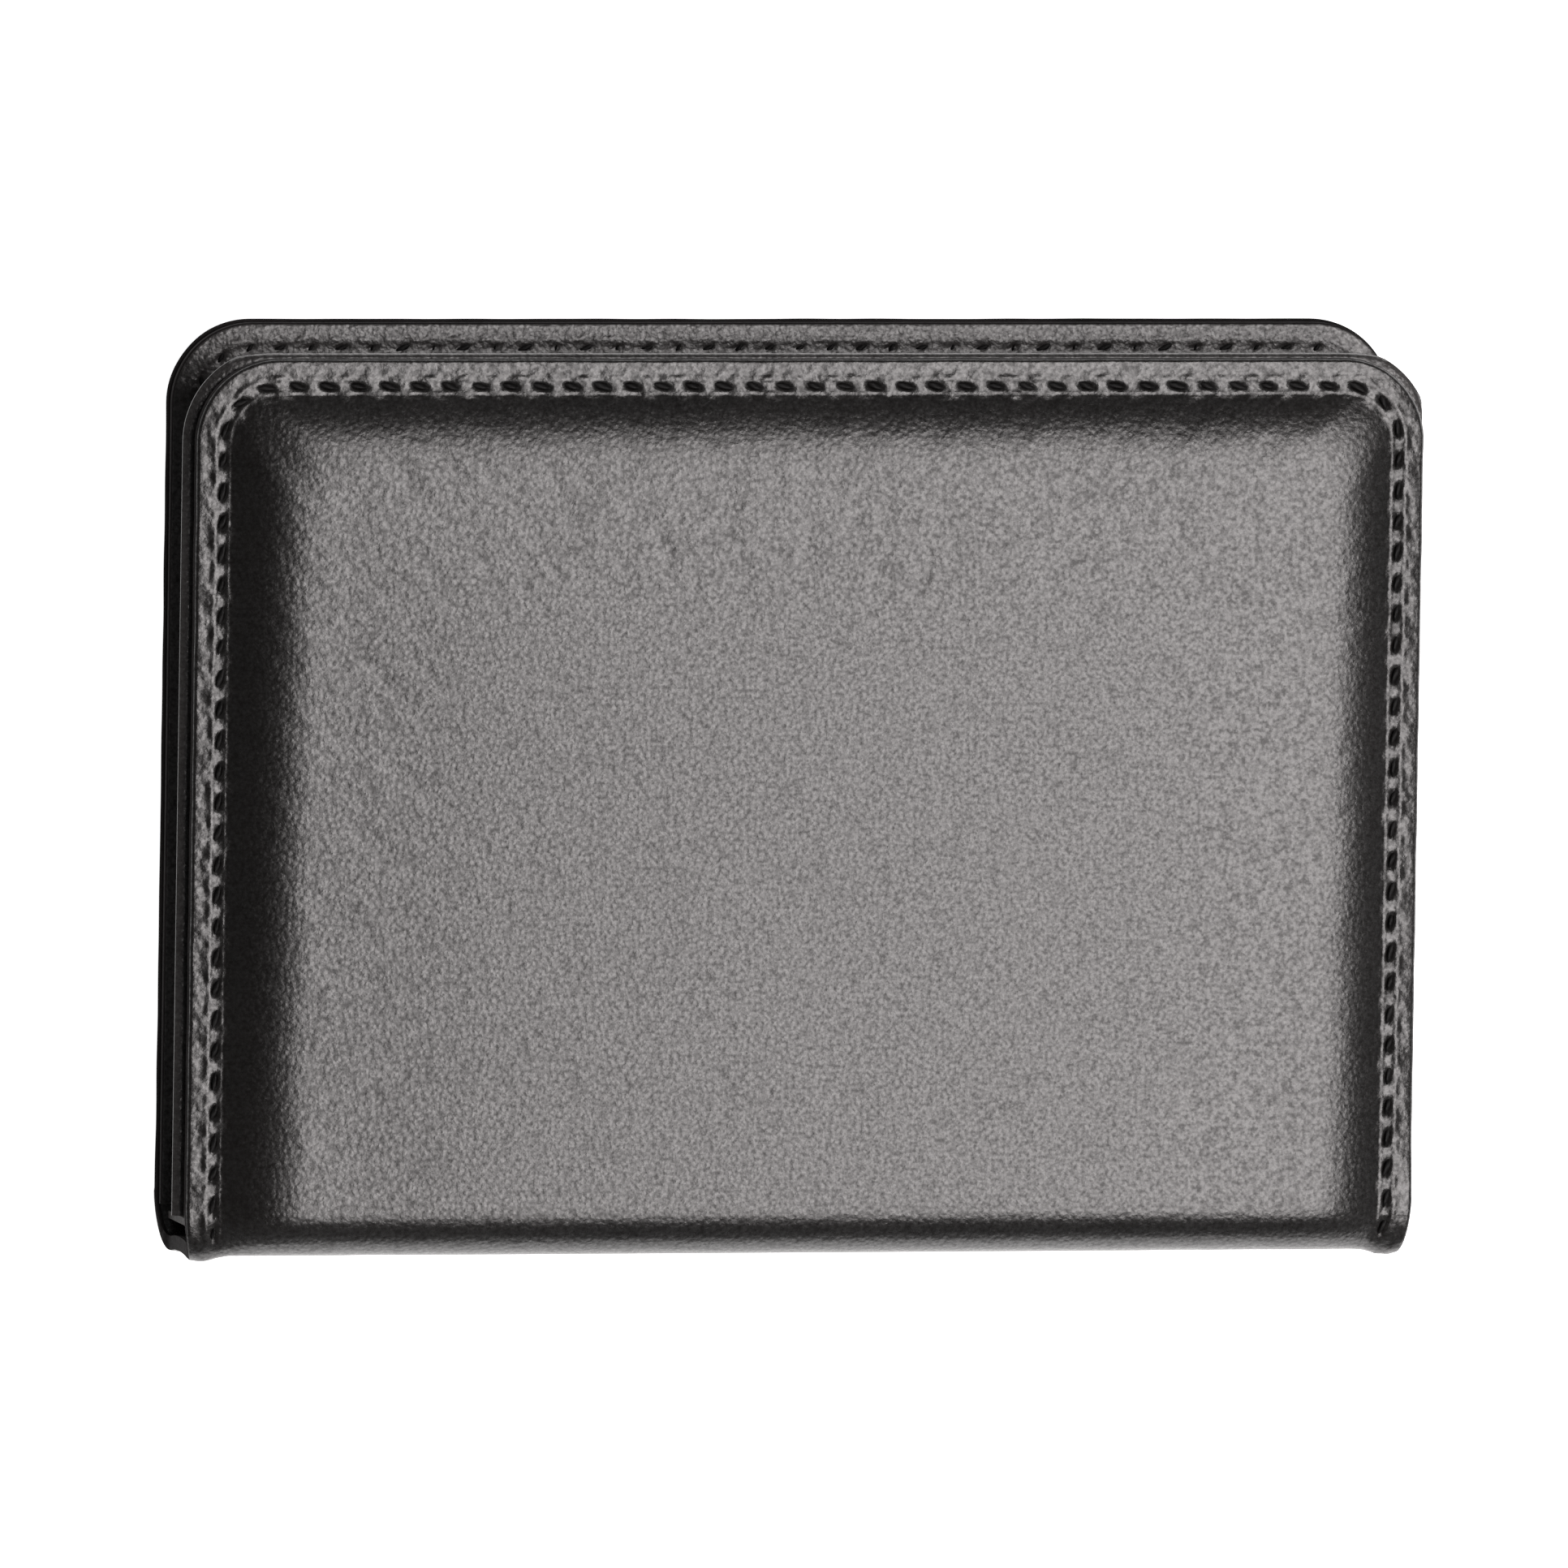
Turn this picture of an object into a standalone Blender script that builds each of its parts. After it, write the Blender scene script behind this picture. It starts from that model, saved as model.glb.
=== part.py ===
"""Folding card wallet: two padded leather leaves on a folding spine, with a gusseted pocket.

The closed wallet lies on its rear leaf. X runs along the spine, -Y is the spine's side, +Y the
opening edge and +Z goes from the rear leaf to the front leaf. The origin is the middle of the
footprint, on the surface that the wallet lies on.

A leaf is drawn in its own frame: its outer face looks down, its inner face up. The rear leaf lies
that way, and the front leaf is a like leaf turned half round about Y, a little less deep.
"""

import bpy
import math
from mathutils import Vector

MM = 0.001

# Overall sizes
WALLET_WIDTH = 105.0 * MM
WALLET_DEPTH = 77.5 * MM
CORNER_RADIUS = 7.0 * MM
FOLD_RADIUS = 4.4 * MM
LEAF_STEP = 2.4 * MM

# Clearance between pieces that touch
GAP = 0.3 * MM

# Sheets and fillings
LEATHER = 1.2 * MM
LINING = 0.9 * MM
FOAM = 0.8 * MM
BOARD = 0.5 * MM
PANEL_LEATHER = 0.9 * MM
PANEL_LINING = 0.6 * MM
SLOT_LEATHER = 0.7 * MM
GUSSET_LEATHER = 0.5 * MM
POCKET_ROOM = 4.4 * MM
CLOSING_ROOM = 0.7 * MM

# Padded cover
PAD_CORNER_RADIUS = 4.0 * MM
PAD_MARGIN = 3.3 * MM
PAD_RAMP = 6.2 * MM
PAD_CROWN_POWER = 2.2
PAD_STEPS = (0.0, 0.12, 0.28, 0.48, 0.72, 1.0)
EDGE_ROUND = 0.4 * MM
LINING_SETBACK = 0.5 * MM

# Seams
STITCH_MARGIN = 2.3 * MM
STITCH_PITCH = 2.6 * MM
THREAD_RADIUS = 0.22 * MM
THREAD_DIP = 0.09 * MM
THREAD_SLANT = 0.14 * MM
GROOVE_WIDTH = 1.5 * MM
GROOVE_DEPTH = 0.45 * MM
PANEL_GROOVE_DEPTH = 0.3 * MM
SEAM_END_MARGIN = 1.4 * MM

# Pocket
POCKET_SETBACK = 1.0 * MM
POCKET_SPINE_MARGIN = 0.8 * MM
POCKET_MOUTH_DROP = 8.5 * MM
POCKET_CORNER_RADIUS = 8.0 * MM
PANEL_LINING_SETBACK = 0.5 * MM
GUSSET_SETBACK = 0.6 * MM
GUSSET_DEPTH = 4.6 * MM
FLANGE_SHARE = 0.30
BEND_SHARE = 0.82

# Card slots of the front leaf
SLOT_SETBACK = 1.2 * MM
SLOT_SPINE_MARGIN = 0.8 * MM
UPPER_SLOT_DROP = 10.0 * MM
LOWER_SLOT_DROP = 22.0 * MM
SLOT_CORNER_RADIUS = 1.5 * MM

# Spine
SPINE_BOARD_END_MARGIN = 4.5 * MM
SPINE_LINING_END_MARGIN = 1.0 * MM
SPINE_EDGE_ROUND = 0.15 * MM

# The pleat's bend, in thicknesses of the gusset's leather
BEND_OUTSIDE = 1.6
BEND_INSIDE = 0.55
BEND_THROAT = 0.7

# Facets
ARC_STEPS = 8
FOLD_STEPS = 3

# Places along a leaf's thickness, from its outer face to its inner one
PAD_RISE = FOAM + BOARD + 2 * GAP
FOAM_BACK = LEATHER + GAP + FOAM
BOARD_FACE = FOAM_BACK + GAP
LINING_FACE = BOARD_FACE + BOARD + GAP
LEAF_THICKNESS = LINING_FACE + LINING

# Places in the closed wallet, from the rear leaf up to the front one
POCKET_CEILING = LEAF_THICKNESS + POCKET_ROOM
PANEL_FACE = POCKET_CEILING + PANEL_LINING + GAP
PANEL_TOP = PANEL_FACE + PANEL_LEATHER
SLOT_STACK = 2 * (SLOT_LEATHER + GAP)
CLOSED_THICKNESS = PANEL_TOP + CLOSING_ROOM + SLOT_STACK + LEAF_THICKNESS

FOLD_LINE = -WALLET_DEPTH / 2 + FOLD_RADIUS
REAR_EDGE = WALLET_DEPTH / 2
FRONT_EDGE = REAR_EDGE - LEAF_STEP
SPINE_INSIDE = -WALLET_DEPTH / 2 + LEATHER + 2 * GAP + BOARD

# A fold turns about a line near the middle of its arc, so that the unrolled leather lies flat
FOLD_PIVOT = FOLD_RADIUS * (1 - math.pi / 4)
REAR_FOLD = Vector((0, -WALLET_DEPTH / 2 + FOLD_PIVOT, FOLD_PIVOT))
FRONT_FOLD = Vector((0, REAR_FOLD.y, CLOSED_THICKNESS - FOLD_PIVOT))

# The leather of a leaf and that of the spine meet at mid fold, with a slit between them
FOLD_SPLIT = math.pi / 4
FOLD_SLIT = 1.35 * GAP
FOLD_HALF_GAP = FOLD_SLIT / 2 / FOLD_RADIUS

BLACK_LEATHER = ("black_leather", (0.030, 0.028, 0.028), 0.48)
SMOOTH_LEATHER = ("smooth_leather", (0.020, 0.019, 0.019), 0.40)
BLACK_LINING = ("black_lining", (0.026, 0.025, 0.026), 0.70)
GREY_FOAM = ("grey_foam", (0.20, 0.20, 0.21), 0.95)
GREY_BOARD = ("grey_board", (0.34, 0.32, 0.29), 0.90)
BLACK_THREAD = ("black_thread", (0.012, 0.012, 0.013), 0.60)


def clear_scene():
    """Start from an empty scene."""
    for item in list(bpy.data.objects):
        bpy.data.objects.remove(item, do_unlink=True)


def new_collection(name):
    collection = bpy.data.collections.new(name)
    bpy.context.scene.collection.children.link(collection)
    return collection


def material(finish):
    """The named finish as a Principled BSDF material, made once."""
    name, colour, roughness = finish
    found = bpy.data.materials.get(name)
    if found:
        return found
    made = bpy.data.materials.new(name)
    made.use_nodes = True
    shader = made.node_tree.nodes["Principled BSDF"]
    shader.inputs["Base Color"].default_value = (*colour, 1.0)
    shader.inputs["Roughness"].default_value = roughness
    shader.inputs["Metallic"].default_value = 0.0
    return made


def add_object(name, data, finish, parent=None, location=(0, 0, 0), turn=(0, 0, 0)):
    """Put a piece in the wallet's collection. Its location is in the closed wallet's frame."""
    data.materials.clear()
    data.materials.append(material(finish))
    piece = bpy.data.objects.new(name, data)
    WALLET.objects.link(piece)
    place(piece, parent, location)
    piece.rotation_euler = turn
    return piece


def place(item, parent, location):
    """Set an object at a point of the closed wallet, measured from its parent's axis."""
    item.parent = parent
    world = Vector(location)
    while parent:
        world -= parent.location
        parent = parent.parent
    item.location = world


def axis_empty(name, location, parent=None):
    """An empty on a joint's axis, which carries the pieces that turn or slide there."""
    empty = bpy.data.objects.new(name, None)
    WALLET.objects.link(empty)
    place(empty, parent, location)
    return empty


def mesh_from(name, points, faces):
    mesh = bpy.data.meshes.new(name)
    mesh.from_pydata([tuple(p) for p in points], [], faces)
    mesh.validate()
    mesh.shade_smooth()
    mesh.set_sharp_from_angle(angle=math.radians(40))
    return mesh


def arc(centre, radius, start_degrees, end_degrees, steps=ARC_STEPS):
    """Points of an arc in the XY plane, ends included."""
    points = []
    for step in range(steps + 1):
        angle = math.radians(start_degrees + (end_degrees - start_degrees) * step / steps)
        points.append((centre[0] + radius * math.cos(angle), centre[1] + radius * math.sin(angle)))
    return points


def three_sides(half_width, near, far, inset, corner):
    """A leaf's left, far and right sides as one open line, drawn in by inset from the edge."""
    radius = max(corner - inset, PAD_CORNER_RADIUS)
    side = half_width - inset
    top = far - inset
    left = arc((-side + radius, top - radius), radius, 180, 90)
    right = arc((side - radius, top - radius), radius, 90, 0)
    return [(-side, near)] + left + right + [(side, near)]


def fold_point(side, height, angle, wall):
    """A point of the rolled edge at the spine, on the leather's outer (wall 0) or inner face."""
    y = FOLD_LINE - (FOLD_RADIUS - wall) * math.sin(angle)
    z = FOLD_RADIUS - (FOLD_RADIUS - height) * math.cos(angle)
    return (side, y, z)


def pad_face(step, depth):
    """Inset and height of a padded cover's face at a share of its ramp, depth below the surface."""
    left = 1 - step
    height = PAD_RISE * left**PAD_CROWN_POWER
    slope = PAD_RISE * PAD_CROWN_POWER / PAD_RAMP * left ** (PAD_CROWN_POWER - 1)
    length = math.hypot(1, slope)
    return (PAD_MARGIN + PAD_RAMP * step + depth * slope / length, height + depth / length)


def pad_step_at(height, depth):
    """Share of the ramp where the face at that depth comes down to a height."""
    low, high = 0.0, 1.0
    for _ in range(40):
        middle = (low + high) / 2
        if pad_face(middle, depth)[1] > height:
            low = middle
        else:
            high = middle
    return high


def cover_faces():
    """The cover's outer profile, with its stitch groove and raised pad, and its inner profile."""
    half_groove = GROOVE_WIDTH / 2
    outer = [
        (0.0, PAD_RISE + EDGE_ROUND),
        (EDGE_ROUND * 0.3, PAD_RISE + EDGE_ROUND * 0.3),
        (EDGE_ROUND, PAD_RISE),
        (STITCH_MARGIN - half_groove, PAD_RISE),
        (STITCH_MARGIN - half_groove / 3, PAD_RISE + GROOVE_DEPTH),
        (STITCH_MARGIN + half_groove / 3, PAD_RISE + GROOVE_DEPTH),
    ]
    outer += [pad_face(step, 0) for step in PAD_STEPS]
    inner = [(0.0, PAD_RISE + LEATHER - EDGE_ROUND / 2), (EDGE_ROUND / 2, PAD_RISE + LEATHER)]
    inner += [pad_face(step, LEATHER) for step in PAD_STEPS]
    inner[2] = (inner[2][0], PAD_RISE + LEATHER)
    return outer, inner


def fold_angles(start, end):
    return [start + (end - start) * step / FOLD_STEPS for step in range(FOLD_STEPS + 1)]


def loft_sheet(name, outer, inner, half_width, near, far, corner, rolls=()):
    """A closed sheet with rounded far corners, lofted through two profiles.

    Each profile is a list of (inset from the edge, height). The last ring of each bounds a flat
    middle. Rolls are the fold angles by which the near side bends on towards the spine.
    """
    points = []
    faces = []

    def ring_points(inset, height, wall):
        flat = three_sides(half_width, near, far, inset, corner)
        left = [fold_point(flat[0][0], height, angle, wall) for angle in reversed(rolls)]
        right = [fold_point(flat[-1][0], height, angle, wall) for angle in rolls]
        return left + [(x, y, height) for x, y in flat] + right

    def add_face(profile, wall, flip):
        rings = []
        for inset, height in profile:
            ring = ring_points(inset, height, wall)
            rings.append(list(range(len(points), len(points) + len(ring))))
            points.extend(ring)
        for a, b in zip(rings, rings[1:]):
            for i in range(len(a) - 1):
                quad = (a[i], a[i + 1], b[i + 1], b[i])
                faces.append(quad[::-1] if flip else quad)
        last = rings[-1]
        bent = len(rolls)
        for i in range(bent):
            quad = (last[i], last[i + 1], last[-2 - i], last[-1 - i])
            faces.append(quad[::-1] if flip else quad)
        middle = last[bent : len(last) - bent]
        faces.append(tuple(middle[::-1] if flip else middle))
        return rings

    lower = add_face(outer, 0.0, False)
    upper = add_face(inner, LEATHER, True)
    for i in range(len(lower[0]) - 1):
        faces.append((lower[0][i + 1], lower[0][i], upper[0][i], upper[0][i + 1]))
    near_lower = [ring[0] for ring in lower] + [ring[-1] for ring in reversed(lower)]
    near_upper = [ring[0] for ring in upper] + [ring[-1] for ring in reversed(upper)]
    faces.append(tuple(near_lower + near_upper[::-1]))
    return mesh_from(name, points, faces)


def leaf_sheet(name, outer, inner, near, far, rolls=()):
    return loft_sheet(name, outer, inner, WALLET_WIDTH / 2, near, far, CORNER_RADIUS, rolls)


def leaf_cover(far):
    """Outer leather of a leaf, rolled half way round the fold."""
    outer, inner = cover_faces()
    rolls = fold_angles(0, FOLD_SPLIT - FOLD_HALF_GAP)[1:]
    return leaf_sheet("leaf_cover", outer, inner, FOLD_LINE, far, rolls)


def leaf_foam(far):
    """Pad under the raised panel: its crown follows the leather's inner face."""
    first = pad_step_at(FOAM_BACK - EDGE_ROUND / 2, LEATHER + GAP)
    steps = [first] + [step for step in PAD_STEPS if step > first + 0.05]
    crown = [pad_face(step, LEATHER + GAP) for step in steps]
    back = [(crown[0][0], FOAM_BACK)]
    return leaf_sheet("leaf_foam", crown, back, FOLD_LINE + GAP, far)


def leaf_board(far):
    """Stiffening board between the foam and the lining."""
    inset = pad_face(pad_step_at(BOARD_FACE, LEATHER + GAP), LEATHER + GAP)[0]
    outer = [(inset, BOARD_FACE)]
    inner = [(inset, BOARD_FACE + BOARD)]
    return leaf_sheet("leaf_board", outer, inner, FOLD_LINE + GAP, far)


def leaf_lining(far):
    """Inner leather of a leaf, set back a little from the cover's edge."""
    edge = EDGE_ROUND / 2
    outer = [(LINING_SETBACK, LINING_FACE + edge), (LINING_SETBACK + edge, LINING_FACE)]
    top = LEAF_THICKNESS
    inner = [(LINING_SETBACK, top - edge), (LINING_SETBACK + edge, top)]
    near = SPINE_INSIDE + 2 * GAP + PANEL_LINING
    return leaf_sheet("leaf_lining", outer, inner, near, far)


def walk(line, pitch):
    """Points at an even step close to pitch along a line, with the line's direction at each."""
    lengths = [math.dist(a, b) for a, b in zip(line, line[1:])]
    total = sum(lengths)
    count = max(2, round(total / pitch))
    result = []
    for index in range(count + 1):
        target = total * index / count
        travelled = 0.0
        for a, b, length in zip(line, line[1:], lengths):
            if travelled + length >= target - 1e-9 and length > 0:
                share = min(1.0, max(0.0, (target - travelled) / length))
                point = Vector(a).lerp(Vector(b), share)
                result.append((point, (Vector(b) - Vector(a)).normalized()))
                break
            travelled += length
    return result


def thread(name, line, height):
    """One unbroken thread: each stitch rises over the leather and slants across the seam."""
    centres = []
    for index, (point, along) in enumerate(walk(line, STITCH_PITCH / 2)):
        sign = 1 if index % 2 else -1
        across = Vector((-along.y, along.x)) * THREAD_SLANT * sign
        centres.append((point.x + across.x, point.y + across.y, height + THREAD_DIP * sign))
    curve = bpy.data.curves.new(name, "CURVE")
    curve.dimensions = "3D"
    curve.bevel_depth = THREAD_RADIUS
    curve.bevel_resolution = 0
    curve.use_fill_caps = True
    spline = curve.splines.new("POLY")
    spline.points.add(len(centres) - 1)
    for point, centre in zip(spline.points, centres):
        point.co = (*centre, 1.0)
    return curve


def leaf_seam_line(near, far):
    """The seam's line, parallel to a leaf's three open sides."""
    return three_sides(WALLET_WIDTH / 2, near, far, STITCH_MARGIN, CORNER_RADIUS)


def outer_thread(far):
    height = PAD_RISE + GROOVE_DEPTH - GAP - THREAD_RADIUS
    return thread("outer_thread", leaf_seam_line(FOLD_LINE + SEAM_END_MARGIN, far), height)


def inner_thread(far):
    """The seam's inner side, from one top corner of the leaf to the other."""
    height = LEAF_THICKNESS + GAP + THREAD_RADIUS
    near = far - CORNER_RADIUS - THREAD_RADIUS
    return thread("inner_thread", leaf_seam_line(near, far), height)


def spine_cover():
    """Outer leather of the spine, between the two fold lines' mid arcs."""
    outer, inner = cover_faces()
    rear = fold_angles(FOLD_SPLIT + FOLD_HALF_GAP, math.pi / 2)
    points = []
    faces = []

    def add_face(profile, wall, flip):
        left = [(-WALLET_WIDTH / 2 + inset, height) for inset, height in profile]
        columns = left + [(-side, height) for side, height in reversed(left)]
        rows = []
        for half in range(2):
            for angle in rear if half == 0 else reversed(rear):
                row = []
                for side, height in columns:
                    x, y, z = fold_point(side, height, angle, wall)
                    row.append(len(points))
                    points.append((x, y, z if half == 0 else CLOSED_THICKNESS - z))
                rows.append(row)
        for a, b in zip(rows, rows[1:]):
            for i in range(len(a) - 1):
                quad = (a[i], a[i + 1], b[i + 1], b[i])
                faces.append(quad[::-1] if flip else quad)
        return rows

    out = add_face(outer, 0.0, False)
    back = add_face(inner, LEATHER, True)
    for a, b in zip(range(len(out) - 1), range(1, len(out))):
        faces.append((out[a][0], out[b][0], back[b][0], back[a][0]))
        faces.append((out[b][-1], out[a][-1], back[a][-1], back[b][-1]))
    faces.append(tuple(out[0][::-1] + back[0]))
    faces.append(tuple(out[-1] + back[-1][::-1]))
    return mesh_from("spine_cover", points, faces)


def strip(name, size):
    """A flat strip with its long edges slightly rounded."""
    x, y, z = (length / 2 for length in size)
    edge = SPINE_EDGE_ROUND
    section = [(-y, -z + edge), (-y + edge, -z), (y - edge, -z), (y, -z + edge)]
    section += [(-a, -b) for a, b in section]
    points = [(end * x, a, b) for end in (-1, 1) for a, b in section]
    count = len(section)
    faces = [(i, (i + 1) % count, count + (i + 1) % count, count + i) for i in range(count)]
    faces.append(tuple(reversed(range(count))))
    faces.append(tuple(range(count, 2 * count)))
    return mesh_from(name, points, faces)


def pocket_line(setback):
    """The pocket's two sides and foot, drawn as a leaf whose near side is the pocket's mouth."""
    foot = -(FOLD_LINE + POCKET_SPINE_MARGIN)
    mouth = -(REAR_EDGE - POCKET_MOUTH_DROP)
    return (WALLET_WIDTH / 2 - setback, mouth, foot, POCKET_CORNER_RADIUS)


def pocket_sheet(name, outer, inner):
    half_width, near, far, corner = pocket_line(POCKET_SETBACK)
    return loft_sheet(name, outer, inner, half_width, near, far, corner)


def pocket_panel_mesh():
    """The pocket's front leather, lying face down: its grooved face is the outer one."""
    half_groove = GROOVE_WIDTH / 2
    edge = EDGE_ROUND / 2
    groove = STITCH_MARGIN - POCKET_SETBACK
    outer = [
        (0.0, edge),
        (edge, 0.0),
        (groove - half_groove * 0.8, 0.0),
        (groove - half_groove / 3, PANEL_GROOVE_DEPTH),
        (groove + half_groove / 3, PANEL_GROOVE_DEPTH),
        (groove + half_groove * 0.8, 0.0),
    ]
    inner = [(0.0, PANEL_LEATHER - edge), (edge, PANEL_LEATHER)]
    return pocket_sheet("pocket_panel", outer, inner)


def pocket_lining_mesh():
    inset = PANEL_LINING_SETBACK
    return pocket_sheet("pocket_lining", [(inset, 0.0)], [(inset, PANEL_LINING)])


def pocket_thread_mesh():
    half_width, near, far, corner = pocket_line(POCKET_SETBACK)
    inset = STITCH_MARGIN - POCKET_SETBACK
    line = three_sides(half_width, near + SEAM_END_MARGIN, far, inset, corner)
    height = PANEL_GROOVE_DEPTH - GAP - THREAD_RADIUS
    return thread("pocket_thread", line, height)


def gusset_mesh():
    """The pocket's folded side wall: one strip pleated inwards, round both sides and the foot."""
    half_width, near, far, corner = pocket_line(POCKET_SETBACK + GUSSET_SETBACK)
    low = LEAF_THICKNESS + GAP
    high = POCKET_CEILING - GAP
    middle = (low + high) / 2
    wall = GUSSET_LEATHER
    flange = GUSSET_DEPTH * FLANGE_SHARE
    bend = GUSSET_DEPTH * BEND_SHARE
    lower = [
        (0.0, low),
        (flange, low),
        (bend, middle - wall * BEND_OUTSIDE),
        (GUSSET_DEPTH, middle - wall / 2),
    ]
    folded = [
        (0.0, low + wall),
        (flange, low + wall),
        (bend - wall, middle - wall * BEND_INSIDE),
        (bend - wall * BEND_THROAT, middle),
    ]
    outline = lower + [(inset, 2 * middle - z) for inset, z in reversed(lower)]
    outline += [(inset, 2 * middle - z) for inset, z in folded]
    outline += list(reversed(folded))[1:]
    rings = [three_sides(half_width, near, far, inset, corner) for inset, z in outline]
    points = []
    for ring, (inset, z) in zip(rings, outline):
        points += [(x, y, -z) for x, y in ring]
    length = len(rings[0])
    faces = []
    for i in range(len(outline)):
        j = (i + 1) % len(outline)
        for k in range(length - 1):
            faces.append((j * length + k, j * length + k + 1, i * length + k + 1, i * length + k))
    faces.append(tuple(i * length for i in reversed(range(len(outline)))))
    faces.append(tuple(i * length + length - 1 for i in range(len(outline))))
    return mesh_from("gusset", points, faces)


def slot_panel(name, mouth_drop):
    """A card slot's panel: open at its mouth, sewn down on the other three sides."""
    half = WALLET_WIDTH / 2 - SLOT_SETBACK
    low = FOLD_LINE + SLOT_SPINE_MARGIN
    high = FRONT_EDGE - mouth_drop
    r = SLOT_CORNER_RADIUS
    outline = arc((half - r, high - r), r, 0, 90, 3) + arc((-half + r, high - r), r, 90, 180, 3)
    outline += arc((-half + r, low + r), r, 180, 270, 3) + arc((half - r, low + r), r, 270, 360, 3)
    curve = bpy.data.curves.new(name, "CURVE")
    curve.dimensions = "2D"
    curve.fill_mode = "BOTH"
    curve.extrude = SLOT_LEATHER / 2
    spline = curve.splines.new("POLY")
    spline.points.add(len(outline) - 1)
    spline.use_cyclic_u = True
    for point, (x, y) in zip(spline.points, outline):
        point.co = (x, y, 0.0, 1.0)
    return curve


def build_leaves(front_axis):
    """Both leaves from the same six pieces: the front one is turned over about Y."""
    top = (0, 0, CLOSED_THICKNESS)
    over = (0, math.pi, 0)
    pieces = (
        ("cover", leaf_cover, BLACK_LEATHER),
        ("foam_pad", leaf_foam, GREY_FOAM),
        ("board", leaf_board, GREY_BOARD),
        ("lining", leaf_lining, BLACK_LINING),
        ("stitching", outer_thread, BLACK_THREAD),
        ("inside_stitching", inner_thread, BLACK_THREAD),
    )
    for name, make, finish in pieces:
        add_object("rear_" + name, make(REAR_EDGE), finish)
        add_object("front_" + name, make(FRONT_EDGE), finish, front_axis, top, over)


def build_slots(front_axis):
    """Two stepped card slots on the front leaf's inner side."""
    first = CLOSED_THICKNESS - LEAF_THICKNESS - GAP - SLOT_LEATHER / 2
    step = SLOT_LEATHER + GAP
    upper = slot_panel("upper_card_slot", UPPER_SLOT_DROP)
    add_object("upper_card_slot", upper, SMOOTH_LEATHER, front_axis, (0, 0, first))
    lower = slot_panel("lower_card_slot", LOWER_SLOT_DROP)
    add_object("lower_card_slot", lower, SMOOTH_LEATHER, front_axis, (0, 0, first - step))


def build_spine(rear_axis):
    add_object("spine_cover", spine_cover(), BLACK_LEATHER, rear_axis)
    middle = CLOSED_THICKNESS / 2
    board_y = -WALLET_DEPTH / 2 + LEATHER + GAP + BOARD / 2
    width = WALLET_WIDTH - 2 * SPINE_BOARD_END_MARGIN
    board = strip("spine_board", (width, BOARD, CLOSED_THICKNESS - 2 * FOLD_RADIUS))
    add_object("spine_board", board, GREY_BOARD, rear_axis, (0, board_y, middle))
    width = WALLET_WIDTH - 2 * SPINE_LINING_END_MARGIN
    height = CLOSED_THICKNESS - 2 * (LINING_FACE + EDGE_ROUND / 2)
    lining = strip("spine_lining", (width, PANEL_LINING, height))
    lining_y = SPINE_INSIDE + PANEL_LINING / 2
    add_object("spine_lining", lining, BLACK_LINING, rear_axis, (0, lining_y, middle))


def build_pocket(pocket_axis):
    """The pocket's pieces are drawn face down and mouth first, so they are turned about X."""
    over = (math.pi, 0, 0)
    add_object("pocket_gusset", gusset_mesh(), SMOOTH_LEATHER, turn=over)
    top = (0, 0, PANEL_TOP)
    add_object("pocket_panel", pocket_panel_mesh(), SMOOTH_LEATHER, pocket_axis, top, over)
    lining_top = (0, 0, PANEL_FACE - GAP)
    lining = pocket_lining_mesh()
    add_object("pocket_lining", lining, BLACK_LINING, pocket_axis, lining_top, over)
    add_object("pocket_stitching", pocket_thread_mesh(), BLACK_THREAD, pocket_axis, top, over)


def build_wallet():
    rear_axis = axis_empty("rear_fold_axis", REAR_FOLD)
    front_axis = axis_empty("front_fold_axis", FRONT_FOLD, rear_axis)
    pocket_axis = axis_empty("pocket_slide_axis", (0, 0, PANEL_TOP))
    build_leaves(front_axis)
    build_spine(rear_axis)
    build_pocket(pocket_axis)
    build_slots(front_axis)
    bpy.context.view_layer.update()


clear_scene()
WALLET = new_collection("card_wallet")
build_wallet()
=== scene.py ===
"""Looks of the folding card wallet: grained black leather, sewn seams, padded panels and lining.

The sheets are drawn leaf by leaf in the leaf's own frame, whose outer face looks down, and are
then laid on the rear leaf or turned over onto the front leaf. Left and right are the leaf's own, so
the front leaf's left is the closed wallet's right. Every length is in metres.
"""

import math

import bmesh
import bpy
import numpy as np
from mathutils import Matrix, Vector


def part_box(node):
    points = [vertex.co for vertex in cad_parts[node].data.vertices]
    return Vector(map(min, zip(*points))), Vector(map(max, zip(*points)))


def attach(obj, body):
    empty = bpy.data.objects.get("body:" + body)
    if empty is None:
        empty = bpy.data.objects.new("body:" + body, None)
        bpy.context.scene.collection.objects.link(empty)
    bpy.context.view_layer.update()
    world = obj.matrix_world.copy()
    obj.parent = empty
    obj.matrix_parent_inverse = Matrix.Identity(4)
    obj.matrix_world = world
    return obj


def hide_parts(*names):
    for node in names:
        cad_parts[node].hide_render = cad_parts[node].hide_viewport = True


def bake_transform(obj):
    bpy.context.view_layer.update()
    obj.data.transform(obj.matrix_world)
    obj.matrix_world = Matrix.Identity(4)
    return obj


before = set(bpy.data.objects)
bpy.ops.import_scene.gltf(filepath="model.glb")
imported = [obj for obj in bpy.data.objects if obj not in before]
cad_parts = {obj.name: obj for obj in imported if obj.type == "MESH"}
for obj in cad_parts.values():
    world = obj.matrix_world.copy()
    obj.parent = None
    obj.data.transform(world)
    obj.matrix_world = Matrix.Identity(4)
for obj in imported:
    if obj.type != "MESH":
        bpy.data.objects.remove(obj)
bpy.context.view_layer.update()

MM = 0.001

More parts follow.
